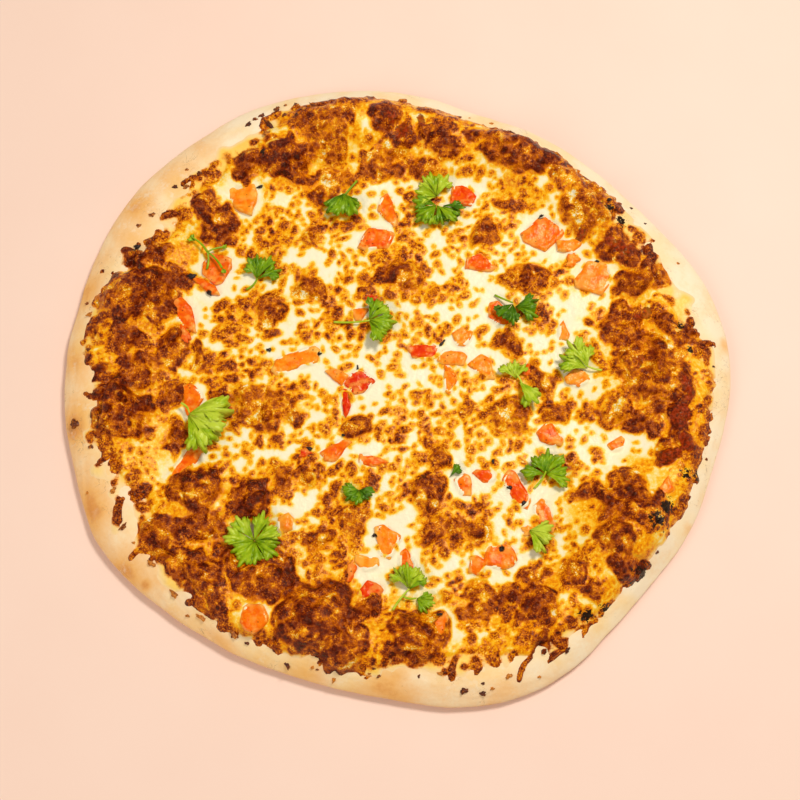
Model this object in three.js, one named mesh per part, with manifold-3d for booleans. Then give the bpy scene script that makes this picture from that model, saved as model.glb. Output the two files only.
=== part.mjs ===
// Margherita pizza: a hand-stretched round of dough with a puffed, bubbly rim, a layer of melted
// cheese that laps up the rim, and diced tomato bedded on the cheese.
// Millimetres, +Z up. The origin is on the flat underside, at the middle of the round.

import * as THREE from "three";
import { mergeVertices } from "three/addons/utils/BufferGeometryUtils.js";
import Module from "manifold-3d";

const wasm = await Module();
wasm.setup();

// Dough: its edge is pulled by hand, so its radius changes all the way round.
const doughRadii = [
  150, 150, 142.5, 139, 138.8, 138.6, 144, 148.4, 151.8, 153.4, 153.4, 151,
  150, 149.6, 151, 144.5, 140.2, 139.4, 142, 149.4, 149, 143.5, 145.5, 146,
]; // every 15 degrees, anticlockwise from +X
const floorHeight = 5; // dough under the cheese
const crestHeight = 12.5; // top of the rim between its bubbles
const crestInset = 17; // crest of the rim, in from the edge
const rimInset = 42; // where the rim starts to rise, in from the edge
const edgeHeight = 4.6; // where the rounded edge turns over
const edgeCurve = 2.4; // above 2, the rim's outer slope is fuller than a parabola
const footInset = 6; // flat underside ends here, in from the edge

// Cheese: melted to a ragged round that stops short of the edge.
const cheeseRadii = [
  140, 134, 129, 128, 130, 132, 137, 135, 137, 140, 141, 141, 137, 134, 131, 128, 138, 140,
  132, 135, 130, 129, 130, 134, 135, 131, 132, 128, 129, 134, 136, 139, 141, 140, 138, 140,
]; // every 10 degrees, anticlockwise from +X
const bareEdge = 5; // least dough left bare
const raggedWave = 1.4; // how far the cheese's edge wanders between those radii
const cheeseThickness = 2.8;
const cheeseEdgeThickness = 0.8;
const rippleHeight = 0.3; // low swells in the melted top
const rippleLength = 44;

const layerGap = 0.3; // between pieces that lie on each other
const sectors = 72; // facets round the pizza
const blockBase = 1; // what is cut to fit the dough starts this far up inside it

// Bubbles blown up in the dough, which lift the cheese: [x, y, radius, height].
const bubbles = [
  [-118, 34, 21, 5.5], [-122, -16, 16, 5], [-112, 3, 11, 3], [-90, -57, 17, 5],
  [-61, -57, 9, 4], [-58, -87, 15, 4.5], [-31, -107, 19, 5.5], [5, -114, 15, 4.5],
  [60, -102, 11, 4.5], [95, -66, 25, 8], [108, -2, 25, 8], [110, 44, 13, 4],
  [91, 80, 14, 4.5], [55, 108, 17, 5], [19, 118, 13, 4.5], [-22, 121, 23, 7],
  [-54, 108, 14, 4.5], [-94, 78, 14, 4], [-120, 58, 9, 3], [-77, -100, 11, 3],
  [14, -53, 8, 2.2], [59, 49, 10, 2.6], [50, -19, 12, 2.2], [-2, 49, 10, 2],
];

// Tomato: [x, y, length, width, turn of the length in degrees, corners].
const tomatoes = [
  [-71, 88, 17, 13, -70, 5], [-83, 53, 15, 11.5, 50, 7], [-87, 44.5, 14, 5, -32, 5],
  [-4.5, 82, 16, 8, -80, 5], [-9.5, 67.5, 16, 11.5, 8, 6], [30, 89, 15.5, 10, 0, 5],
  [38, 55.5, 13, 9.5, 2, 5], [66.5, 70.5, 19, 15, 38, 6], [80, 64.5, 13, 7.5, 0, 5],
  [89, 48.5, 17, 14.5, -8, 6], [-97, 31, 21, 8, -52, 5], [-92, -9.5, 16, 9.5, -68, 5],
  [-94, -39, 21, 7.5, 47, 5], [-46.5, 8.5, 22, 9, 20, 6], [-27.5, 1, 11, 7.5, -10, 4],
  [-17.5, -1, 12.5, 9.5, 8, 6], [-23, -11.5, 13, 5, -80, 5], [11, 13.5, 13.5, 7.5, -8, 6],
  [25, 10, 12.5, 8.5, 0, 6], [28.5, 19.8, 11, 7.5, 15, 5], [38.5, 5.5, 14, 9, -40, 5],
  [23, -1, 11, 6, -75, 5], [46.5, 30, 13, 10, -45, 6], [-28, -33, 15, 7.5, 20, 5],
  [-11.5, -37.5, 16, 4.5, -10, 5], [29, -48, 10, 7.5, -50, 5], [38.5, -44.5, 10.5, 6, 0, 6],
  [52, -50, 17, 8, -65, 6], [67.5, -26.5, 13, 10, -60, 5], [80, 0.5, 11, 7.5, -18, 6],
  [116, -51, 10.5, 6.5, 80, 4], [-5, -73, 14, 11.5, -60, 5], [-13, -83, 10.5, 8, -20, 5],
  [4, -83.5, 12, 7.5, 78, 5], [-11.5, -95.5, 11, 7.5, 0, 6], [44.5, -80.5, 12.5, 11, 0, 8],
  [-61, -108, 12, 10.5, 10, 8], [64.5, -62, 13, 9, -75, 6], [-17, 31, 9.5, 6.5, 10, 5],
  [34, -84, 8, 7.5, 0, 5], [18.5, -110, 13, 6.5, 75, 5], [-49, -66, 9, 7.5, 80, 6],
  [97, -30, 8, 6.5, 20, 5], [75, 22, 10, 5, 80, 5],
];
const tomatoRise = 2.6; // a piece stands this far out of the cheese
const tomatoBevel = 0.7;

const doughPlain = new THREE.MeshStandardMaterial({ color: 0xf3d9ab, roughness: 0.85 });
const cheesePlain = new THREE.MeshStandardMaterial({ color: 0xe0a94f, roughness: 0.5 });
const tomatoPlain = new THREE.MeshStandardMaterial({ color: 0xe86a22, roughness: 0.35 });

// The radius at an angle, on a smooth closed curve through evenly spaced radii.
function radiusAt(radii, angle) {
  const n = radii.length;
  const place = (((angle / (2 * Math.PI)) % 1) + 1) * n;
  const i = Math.floor(place);
  const [before, from, to, after] = [i - 1, i, i + 1, i + 2].map((k) => radii[k % n]);
  const t = place - i;
  const bend = 3 * (from - to) + after - before;
  const pull = 2 * before - 5 * from + 4 * to - after;
  return from + 0.5 * t * (to - before + t * (pull + t * bend));
}

const doughEdge = (angle) => radiusAt(doughRadii, angle);

function cheeseEdge(angle) {
  const wave = raggedWave * (Math.sin(17 * angle) + Math.sin(29 * angle + 1));
  return Math.min(radiusAt(cheeseRadii, angle) + wave, doughEdge(angle) - bareEdge);
}

const ease = (low, high, value) => THREE.MathUtils.smoothstep(value, low, high);

function bubbleHeight(x, y) {
  return bubbles.reduce((highest, [bx, by, radius, height]) => {
    const reach = Math.min(Math.hypot(x - bx, y - by) / (1.2 * radius), 1);
    return Math.max(highest, (height * (1 + Math.cos(Math.PI * reach))) / 2);
  }, 0);
}

function doughTop(angle, radius) {
  const inset = doughEdge(angle) - radius;
  const lift = bubbleHeight(radius * Math.cos(angle), radius * Math.sin(angle));
  const rising = floorHeight + (crestHeight - floorHeight) * (1 - ease(crestInset, rimInset, inset));
  const fall = Math.max(0, (crestInset - inset) / crestInset) ** edgeCurve;
  return rising - (crestHeight - edgeHeight) * fall + lift * ease(0, crestInset / 2, inset);
}

function cheeseTop(angle, radius) {
  const share = radius / cheeseEdge(angle);
  const thickness = THREE.MathUtils.lerp(cheeseThickness, cheeseEdgeThickness, ease(0.9, 1, share));
  const [x, y] = [radius * Math.cos(angle), radius * Math.sin(angle)];
  const swell = Math.sin((2 * Math.PI * x) / rippleLength) * Math.cos((2 * Math.PI * y) / rippleLength);
  return doughTop(angle, radius) + layerGap + thickness + rippleHeight * swell;
}

// A closed round solid: each ring gives its radius and height at an angle, from the middle of
// the underside, out and over the edge, to the middle of the top.
function roundSolid(rings) {
  const profile = rings.map((_, i) => new THREE.Vector2(i % (rings.length - 1) ? 1 : 0, i));
  const geometry = new THREE.LatheGeometry(profile, sectors);
  const position = geometry.getAttribute("position");
  for (let i = 0; i < position.count; i++) {
    const angle = ((Math.floor(i / rings.length) % sectors) * 2 * Math.PI) / sectors;
    const [radius, height] = rings[i % rings.length](angle);
    position.setXYZ(i, radius * Math.cos(angle), radius * Math.sin(angle), height);
  }
  return geometry;
}

// Rings over the cheese's area lie at these shares of its radius, and those over the bare
// dough at shares of the way from its edge to the dough's, so both pieces share their facets.
const cheeseShares = [0, 0.12, 0.25, 0.38, 0.5, 0.6, 0.69, 0.76, 0.82, 0.87, 0.92, 0.965, 1];
const bareShares = [0.35, 0.65, 0.86, 0.97];

function doughRings() {
  const topRing = (radiusOf) => (angle) => [radiusOf(angle), doughTop(angle, radiusOf(angle))];
  const bare = bareShares.map((share) =>
    topRing((angle) => THREE.MathUtils.lerp(cheeseEdge(angle), doughEdge(angle), share)),
  );
  const covered = cheeseShares.map((share) => topRing((angle) => share * cheeseEdge(angle)));
  return [
    () => [0, 0],
    (angle) => [doughEdge(angle) - footInset, 0],
    (angle) => [doughEdge(angle) - footInset / 4, edgeHeight / 4],
    (angle) => [doughEdge(angle), edgeHeight * 0.75],
    ...bare.reverse(),
    ...covered.reverse(),
  ];
}

// Everything from deep in the dough up to the cheese's top, or a little above it.
function cheeseBlockRings(raise = 0) {
  const top = cheeseShares.map((share) => (angle) => {
    const radius = share * cheeseEdge(angle);
    return [radius, cheeseTop(angle, radius) + raise];
  });
  return [() => [0, blockBase], (angle) => [cheeseEdge(angle), blockBase], ...top.reverse()];
}

function toSolid(geometry) {
  const bare = new THREE.BufferGeometry();
  bare.setAttribute("position", geometry.getAttribute("position").clone());
  if (geometry.index) bare.setIndex(geometry.index);
  const merged = mergeVertices(bare, 1e-3);
  return new wasm.Manifold(
    new wasm.Mesh({
      numProp: 3,
      vertProperties: new Float32Array(merged.attributes.position.array),
      triVerts: new Uint32Array(merged.index.array),
    }),
  );
}

function toGeometry(solid) {
  const mesh = solid.getMesh();
  const geometry = new THREE.BufferGeometry();
  geometry.setAttribute("position", new THREE.BufferAttribute(mesh.vertProperties, 3));
  geometry.setIndex(new THREE.BufferAttribute(mesh.triVerts, 1));
  geometry.computeVertexNormals();
  return geometry;
}

const heightAt = (x, y) => cheeseTop(Math.atan2(y, x), Math.hypot(x, y));

// A cut piece of tomato: an uneven prism, whose underside beds into the cheese.
function tomatoPiece([x, y, length, width, turn, corners], index) {
  const outline = [];
  for (let i = 0; i < corners; i++) {
    const angle = ((i + 0.3 * Math.sin(5 * index + 2.3 * i)) * 2 * Math.PI) / corners;
    const reach = 1 + 0.12 * Math.sin(3.1 * index + 4.7 * i);
    outline.push(
      new THREE.Vector2(
        (reach * length * Math.cos(angle)) / 2,
        (reach * width * Math.sin(angle)) / 2,
      ),
    );
  }
  const top = heightAt(x, y) + tomatoRise;
  const block = new THREE.ExtrudeGeometry(new THREE.Shape(outline), {
    depth: top - floorHeight,
    bevelSize: tomatoBevel,
    bevelOffset: -tomatoBevel,
    bevelThickness: tomatoBevel,
    bevelSegments: 1,
  });
  block.translate(0, 0, floorHeight - top - tomatoBevel);
  block.rotateX(0.05 * Math.sin(index));
  block.rotateZ(THREE.MathUtils.degToRad(turn));
  const bedded = toSolid(block).subtract(underTomato.translate(-x, -y, -top));
  return placed(toGeometry(bedded), tomatoPlain, [x, y, top]);
}

function placed(geometry, material, [x, y, z] = [0, 0, 0]) {
  const mesh = new THREE.Mesh(geometry, material);
  mesh.position.set(x, y, z);
  return mesh;
}

const named = (mesh, name, index) => {
  mesh.name = index === undefined ? name : `${name}_${String(index + 1).padStart(2, "0")}`;
  return mesh;
};

const dough = roundSolid(doughRings());
const underCheese = toSolid(dough).translate(0, 0, layerGap);
const cheese = toSolid(roundSolid(cheeseBlockRings())).subtract(underCheese);
const underTomato = toSolid(roundSolid(cheeseBlockRings(layerGap)));

const base = new THREE.Group();
base.add(named(placed(dough, doughPlain), "dough"));
base.add(named(placed(toGeometry(cheese), cheesePlain), "cheese"));
const dice = new THREE.Group();
tomatoes.forEach((row, i) => dice.add(named(tomatoPiece(row, i), "tomato", i)));

const pizza = new THREE.Group();
pizza.add(base, dice);

export default pizza;
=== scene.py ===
import math
from types import SimpleNamespace
import bmesh
import bpy
import numpy as np
from mathutils import Matrix, Vector
from mathutils.bvhtree import BVHTree


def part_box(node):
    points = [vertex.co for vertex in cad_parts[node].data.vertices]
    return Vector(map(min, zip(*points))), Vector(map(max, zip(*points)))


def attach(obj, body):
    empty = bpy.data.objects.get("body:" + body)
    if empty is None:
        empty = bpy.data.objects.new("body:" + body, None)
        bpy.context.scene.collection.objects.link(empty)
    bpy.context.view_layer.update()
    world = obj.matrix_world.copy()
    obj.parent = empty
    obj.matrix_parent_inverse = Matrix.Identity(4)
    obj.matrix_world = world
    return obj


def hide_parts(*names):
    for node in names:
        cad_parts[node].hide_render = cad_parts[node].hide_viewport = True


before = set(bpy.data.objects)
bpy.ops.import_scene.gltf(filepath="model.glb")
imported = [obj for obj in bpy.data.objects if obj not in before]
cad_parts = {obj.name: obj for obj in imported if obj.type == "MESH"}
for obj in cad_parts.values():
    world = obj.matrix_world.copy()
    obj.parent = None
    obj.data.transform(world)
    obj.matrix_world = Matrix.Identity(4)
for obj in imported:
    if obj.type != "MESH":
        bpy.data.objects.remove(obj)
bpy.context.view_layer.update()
mm = 0.001  # the lists below are in millimetres, seen from above with +Y away
weld = 0.02 * mm  # loose triangles are merged within this


# small helpers for meshes

def toObject(name, bm):
    mesh = bpy.data.meshes.new(name)
    bm.to_mesh(mesh)
    bm.free()
    piece = bpy.data.objects.new(name, mesh)
    bpy.context.scene.collection.objects.link(piece)
    piece.data.shade_smooth()
    return piece


def coordsOf(mesh):
    coords = np.empty(len(mesh.vertices) * 3)
    mesh.vertices.foreach_get("co", coords)
    return coords.reshape(-1, 3)


def setCoords(mesh, coords):
    mesh.vertices.foreach_set("co", coords.ravel())
    mesh.update()


def paint(mesh, **values):
    for name, value in values.items():
        layer = mesh.attributes.new(name, "FLOAT", "POINT")
        layer.data.foreach_set("value", np.asarray(value, dtype=np.float32))


def treeOf(piece):
    # a piece's surface, to drop other pieces onto
    depsgraph = bpy.context.evaluated_depsgraph_get()
    return BVHTree.FromObject(piece, depsgraph)


def heightsOn(tree, xs, ys):
    # straight down onto a surface, in metres; 0 where nothing is hit
    above, down = 0.1, Vector((0, 0, -1))
    heights = np.zeros(len(xs))
    for i, (x, y) in enumerate(zip(xs.tolist(), ys.tolist())):
        hit = tree.ray_cast(Vector((x, y, above)), down)[0]
        if hit is not None:
            heights[i] = hit.z
    return heights


def smoothstep(low, high, value):
    t = np.clip((value - low) / (high - low), 0, 1)
    return t * t * (3 - 2 * t)


def lerp(a, b, t):
    return a + (b - a) * t


def grainNoise(x, y, size, seed, octaves=1):
    # smooth noise from about -1 to 1, with lumps about `size` across
    rng = np.random.default_rng(seed)
    cells, offset, gain = 97, 40.5, 1.3
    total, weight, norm = 0.0, 1.0, 0.0
    for _ in range(octaves):
        lattice = rng.random((cells, cells)) * 2 - 1
        u, v = x / size + offset, y / size + offset
        left, near = np.floor(u).astype(int), np.floor(v).astype(int)
        fu, fv = smoothstep(0, 1, u - left), smoothstep(0, 1, v - near)
        right, far = (left + 1) % cells, (near + 1) % cells
        left, near = left % cells, near % cells
        total = total + weight * lerp(lerp(lattice[left, near], lattice[right, near], fu),
                                      lerp(lattice[left, far], lattice[right, far], fu), fv)
        norm += weight
        weight *= 0.5
        size *= 0.5
    return total / norm * gain


def spotField(spots, x, y, falloff):
    # the strongest of some round spots, each x, y, reach, strength
    total = np.zeros_like(x)
    for px, py, reach, strength in spots:
        near = ((x - px) ** 2 + (y - py) ** 2) / reach ** 2
        total = np.maximum(total, strength * np.exp(-falloff * near))
    return total


# small helpers for materials

def colour(r, g, b):
    # from 0..255 as seen on a screen to linear light
    channels = [c / 255 for c in (r, g, b)]
    return tuple(c / 12.92 if c < 0.04045 else ((c + 0.055) / 1.055) ** 2.4 for c in channels) + (1,)


def startMaterial(name):
    material = bpy.data.materials.new(name)
    material.use_nodes = True
    tree = material.node_tree
    shader = tree.nodes["Principled BSDF"]
    return material, tree, shader


def plug(tree, value, socket):
    if isinstance(value, bpy.types.NodeSocket):
        tree.links.new(value, socket)
    else:
        socket.default_value = value


def setGloss(tree, shader, roughness, specular, tint=None):
    plug(tree, roughness, shader.inputs["Roughness"])
    shader.inputs["Specular IOR Level"].default_value = specular
    if tint is not None:
        shader.inputs["Specular Tint"].default_value = tint


def attributeOf(tree, name):
    node = tree.nodes.new("ShaderNodeAttribute")
    node.attribute_name = name
    return node.outputs["Fac"]


def objectCoords(tree):
    return tree.nodes.new("ShaderNodeTexCoord").outputs["Object"]


def noiseNode(tree, coords, size, detail=2.0, rough=0.5, distortion=0.0):
    node = tree.nodes.new("ShaderNodeTexNoise")
    plug(tree, coords, node.inputs["Vector"])
    node.inputs["Scale"].default_value = 1 / (size * mm)
    node.inputs["Detail"].default_value = detail
    node.inputs["Roughness"].default_value = rough
    node.inputs["Distortion"].default_value = distortion
    return node.outputs["Fac"]


def cellNode(tree, coords, size):
    node = tree.nodes.new("ShaderNodeTexVoronoi")
    plug(tree, coords, node.inputs["Vector"])
    node.inputs["Scale"].default_value = 1 / (size * mm)
    return node.outputs["Distance"]


def maths(tree, operation, a, b, c=None):
    node = tree.nodes.new("ShaderNodeMath")
    node.operation = operation
    plug(tree, a, node.inputs[0])
    plug(tree, b, node.inputs[1])
    if c is not None:
        plug(tree, c, node.inputs[2])
    return node.outputs[0]


def add(tree, a, b):
    return maths(tree, "ADD", a, b)


def times(tree, a, b):
    return maths(tree, "MULTIPLY", a, b)


def rescale(tree, value, fromLow, fromHigh, toLow=0.0, toHigh=1.0):
    node = tree.nodes.new("ShaderNodeMapRange")
    plug(tree, value, node.inputs["Value"])
    for name, number in zip(("From Min", "From Max", "To Min", "To Max"),
                            (fromLow, fromHigh, toLow, toHigh)):
        node.inputs[name].default_value = number
    return node.outputs["Result"]


def spread(tree, noise, amount):
    # a noise's useful middle, spread to both sides of 0
    return rescale(tree, noise, 0.3, 0.7, -amount, amount)


def ramp(tree, factor, stops):
    node = tree.nodes.new("ShaderNodeValToRGB")
    plug(tree, factor, node.inputs["Fac"])
    while len(node.color_ramp.elements) < len(stops):
        node.color_ramp.elements.new(0.5)
    for element, (place, tint) in zip(node.color_ramp.elements, sorted(stops)):
        element.position = place
        element.color = tint
    return node.outputs["Color"]


def greyRamp(tree, factor, stops):
    return ramp(tree, factor, [(place, (level, level, level, 1)) for place, level in stops])


def blendColours(tree, factor, a, b, mode="MIX"):
    node = tree.nodes.new("ShaderNodeMix")
    node.data_type = "RGBA"
    node.blend_type = mode
    plug(tree, factor, node.inputs[0])
    plug(tree, a, node.inputs[6])
    plug(tree, b, node.inputs[7])
    return node.outputs[2]


def bumpNode(tree, height, strength, distance, under=None):
    node = tree.nodes.new("ShaderNodeBump")
    plug(tree, height, node.inputs["Height"])
    node.inputs["Strength"].default_value = strength
    node.inputs["Distance"].default_value = distance * mm
    if under is not None:
        tree.links.new(under, node.inputs["Normal"])
    return node.outputs["Normal"]


# camera, floor and light
look = {
    "elevation": 73.6,
    "distance": 694.4,
    "lens": 70,
    "sensor": 36,
    "aim": (1.0, -9.5, 8.0),
    "floorReach": 3.0,  # metres
    "floor": colour(250, 214, 190),
    "floorMottle": colour(244, 203, 178),
    "sky": (1, 0.985, 0.96, 1),
    "skyStrength": 0.36,
}

lamps = [  # name, place in metres, power, width in metres
    ("key", (0.40, 0.34, 1.05), 8.7, 0.28),
    ("fill", (-0.7, -0.6, 0.8), 3.8, 0.7),
]


def addCamera():
    rise = math.radians(look["elevation"])
    aim = Vector(look["aim"]) * mm
    camera = bpy.data.cameras.new("camera")
    camera.lens = look["lens"]
    camera.sensor_width = look["sensor"]
    holder = bpy.data.objects.new("camera", camera)
    holder.location = aim + Vector((0, -math.cos(rise), math.sin(rise))) * look["distance"] * mm
    holder.rotation_euler = (aim - holder.location).to_track_quat("-Z", "Y").to_euler()
    bpy.context.scene.collection.objects.link(holder)
    bpy.context.scene.camera = holder


def addFloor():
    bm = bmesh.new()
    bmesh.ops.create_circle(bm, cap_ends=True, segments=96, radius=look["floorReach"])
    floor = toObject("floor", bm)
    material, tree, shader = startMaterial("paleFloor")
    mottle = rescale(tree, noiseNode(tree, objectCoords(tree), 60, 4), 0.3, 0.7, 0, 0.25)
    tint = blendColours(tree, mottle, look["floor"], look["floorMottle"])
    plug(tree, tint, shader.inputs["Base Color"])
    shader.inputs["Roughness"].default_value = 0.6
    floor.data.materials.append(material)


def addLights():
    world = bpy.data.worlds.new("studio")
    world.use_nodes = True
    sky = world.node_tree.nodes["Background"]
    sky.inputs["Color"].default_value = look["sky"]
    sky.inputs["Strength"].default_value = look["skyStrength"]
    bpy.context.scene.world = world
    for name, place, power, width in lamps:
        lamp = bpy.data.lights.new(name, "AREA")
        lamp.energy = power
        lamp.shape = "DISK"
        lamp.size = width
        holder = bpy.data.objects.new(name, lamp)
        holder.location = place
        holder.rotation_euler = (-Vector(place)).to_track_quat("-Z", "Y").to_euler()
        bpy.context.scene.collection.objects.link(holder)


bpy.context.scene.view_settings.view_transform = "Standard"
addCamera()
addFloor()
addLights()
print("studio ready")


# where the CAD nodes stand, in millimetres

def edgeRadii(name):
    # how far out a CAD node reaches at each of its corners round the pizza
    coords = coordsOf(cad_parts[name].data) / mm
    angle, reach = np.arctan2(coords[:, 1], coords[:, 0]), np.hypot(coords[:, 0], coords[:, 1])
    sectors = 72
    which = np.round(angle / (2 * math.pi) * sectors).astype(int) % sectors
    return np.array([reach[which == k].max() for k in range(sectors)])


def radiusAt(radii, angle):
    place = (angle / (2 * math.pi) % 1) * len(radii)
    low = np.floor(place).astype(int)
    t = place - low
    t = t * t * (3 - 2 * t)
    return lerp(radii[low % len(radii)], radii[(low + 1) % len(radii)], t)


def boxOf(name):
    low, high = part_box(name)
    return low / mm, high / mm


def plotOf(name, margin):
    # the ground a node covers, as an unturned mark: x, y, length, width, turn
    low, high = boxOf(name)
    return ((low.x + high.x) / 2, (low.y + high.y) / 2,
            high.x - low.x + margin, high.y - low.y + margin, 0)


tomatoNames = sorted(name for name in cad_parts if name.startswith("tomato"))
doughRadii = edgeRadii("dough")
cheeseRadii = edgeRadii("cheese")


dough = {
    "levels": 3,
    "swell": 0.7,  # unevenness of the baked skin
    "swellSize": 26,
    "wrinkle": 0.12,
    "wrinkleSize": 5,
    "lowest": 0.02,  # its underside stays this far off the floor
    "stain": 0.38,  # how strongly fat colours it beside the cheese
}

tanPatches = [  # x, y, reach, strength
    (-104, 97, 14, 0.4), (-121, 82, 13, 0.55), (-124, 68, 10, 0.4), (-136, -60, 13, 0.7),
    (-120, -90, 13, 0.6), (-5, -138, 12, 0.5), (-146, 10, 9, 0.5), (-145, -22, 12, 0.6),
    (-141, 42, 9, 0.5), (-78, -118, 10, 0.45), (-40, -134, 10, 0.5), (128, -68, 4, 0.7),
    (148, 17, 4, 0.6), (-109, -93, 4, 0.7), (45, -138, 10, 0.3), (-92, 112, 9, 0.3),
]


def roundDough():
    # the CAD node with its corners rounded off
    bm = bmesh.new()
    bm.from_mesh(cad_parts["dough"].data)
    bmesh.ops.remove_doubles(bm, verts=bm.verts, dist=weld)
    bmesh.ops.join_triangles(bm, faces=bm.faces, angle_face_threshold=0.7, angle_shape_threshold=3.1)
    piece = toObject("doughRound", bm)
    surf = piece.modifiers.new("smooth", "SUBSURF")
    surf.levels = surf.render_levels = dough["levels"]
    depsgraph = bpy.context.evaluated_depsgraph_get()
    fine = bpy.data.meshes.new_from_object(piece.evaluated_get(depsgraph))
    piece.modifiers.clear()
    piece.data = fine
    return piece


def buildDough():
    piece = roundDough()
    fine = piece.data
    coords = coordsOf(fine)
    coords[:, 2] = np.maximum(coords[:, 2], dough["lowest"] * mm)
    normals = np.empty(len(fine.vertices) * 3)
    fine.vertices.foreach_get("normal", normals)
    normals = normals.reshape(-1, 3)
    x, y, z = (coords / mm).T
    angle, reach = np.arctan2(y, x), np.hypot(x, y)
    swell = dough["swell"] * grainNoise(x, y, dough["swellSize"], 3, 2)
    wrinkle = dough["wrinkle"] * grainNoise(reach * angle, reach * 2.2, dough["wrinkleSize"], 5, 2)
    lift = (swell + wrinkle) * smoothstep(0.4, 4, z) * mm
    setCoords(fine, coords + normals * lift[:, None])

    gap = reach - radiusAt(cheeseRadii, angle)
    tan = spotField(tanPatches, x, y, 1.6) * smoothstep(1.5, 8, z) + 0.03 * smoothstep(8, 2, z)
    tan = tan + 0.16 * grainNoise(x, y + 0.8 * z, 11, 8, 3)
    # painted shade: the bare dough beyond the cheese is made tanner towards the lower left, the side turned
    # away from the light
    tan = tan + 0.34 * smoothstep(50, -130, x + 0.7 * y) * smoothstep(-6, 8, gap)
    stain = smoothstep(13, 1, gap + 5 * grainNoise(x, y, 9, 9, 2))
    stain = stain * smoothstep(-0.5, 0.3, grainNoise(x, y, 12, 10, 2))
    paint(fine, tan=tan, low=z, stain=stain)
    fine.shade_smooth()
    return piece


def doughMaterial():
    material, tree, shader = startMaterial("bakedDough")
    coords = objectCoords(tree)
    mottle = noiseNode(tree, coords, 9, 5, 0.6)
    fine = noiseNode(tree, coords, 1.4, 3, 0.6)
    # the tan attribute holds the baked tan patches and also painted shade on the lower-left side of the bare
    # rim
    bake = add(tree, attributeOf(tree, "tan"), rescale(tree, mottle, 0.3, 0.7, -0.12, 0.16))
    bake = add(tree, bake, spread(tree, fine, 0.05))
    skin = ramp(tree, bake, [
        (0.0, colour(254, 230, 190)), (0.2, colour(253, 217, 166)), (0.45, colour(250, 199, 136)),
        (0.75, colour(246, 182, 102)), (1.0, colour(228, 152, 74))])
    stain = times(tree, attributeOf(tree, "stain"), dough["stain"])
    skin = blendColours(tree, stain, skin, colour(255, 206, 112))
    # under the rim the crust has browned on the stone
    low = rescale(tree, attributeOf(tree, "low"), 0.2, 3.0, 1, 0)
    base = ramp(tree, noiseNode(tree, coords, 12, 6, 0.65), [
        (0.3, colour(232, 196, 140)), (0.5, colour(214, 160, 96)), (0.62, colour(160, 98, 48)),
        (0.75, colour(86, 48, 26))])
    tint = blendColours(tree, low, skin, base)
    # fine cracks, and flour left in patches
    apart = maths(tree, "SUBTRACT", noiseNode(tree, coords, 8, 4, 0.6, 0.8), 0.5)
    apart = maths(tree, "ABSOLUTE", apart, 0)
    cracks = times(tree, rescale(tree, apart, 0.002, 0.008, 1, 0),
                   rescale(tree, noiseNode(tree, coords, 17, 2), 0.54, 0.6, 0, 0.5))
    tint = blendColours(tree, cracks, tint, colour(150, 116, 84))
    flour = times(tree, rescale(tree, noiseNode(tree, coords, 4.5, 5, 0.7), 0.52, 0.68, 0, 0.45),
                  rescale(tree, noiseNode(tree, coords, 24, 2), 0.4, 0.6))
    tint = blendColours(tree, flour, tint, colour(255, 238, 206))
    plug(tree, tint, shader.inputs["Base Color"])
    setGloss(tree, shader, 0.72, 0.25)
    pores = cellNode(tree, coords, 1.3)
    height = add(tree, times(tree, fine, 0.6), times(tree, pores, 0.25))
    normal = bumpNode(tree, height, 0.35, 0.5)
    normal = bumpNode(tree, noiseNode(tree, coords, 7, 3), 0.3, 1.2, normal)
    plug(tree, normal, shader.inputs["Normal"])
    return material


doughPiece = buildDough()
doughPiece.data.materials.append(doughMaterial())
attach(doughPiece, "root")
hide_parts("dough")
doughTree = treeOf(doughPiece)
print("dough", len(doughPiece.data.polygons))


# the cheese is one sheet whose swellings, blisters and browning come from the maps below
cheese = {
    "spacing": 0.82,  # between the sheet's vertices
    "thick": 3.1,  # melted cheese over the dough, with the sauce under it
    "creep": 1.6,  # rise of the cheese where it laps over the tomato
    "border": 4.5,  # the sheet ends this far in from the dough's edge, sunk in the dough
    "cell": 0.4,  # of the maps
    "half": 152.4,  # the maps reach this far from the middle
    "sheetHalf": 148,
    "blisterGap": 3.0,
    "heaped": 17,  # a bulge has one blister to this many square millimetres
    "heapedSizes": (2.4, 7.6),
    "runs": 520,  # tries at a small run of cheese along the edge
    "runSizes": (1.5, 5.2),
    "bare": 6.5,  # least width of dough left bare
    "skirt": 3.0,  # height at which the sheet is closed underneath, inside the dough
    "seed": 21,
}

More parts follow.
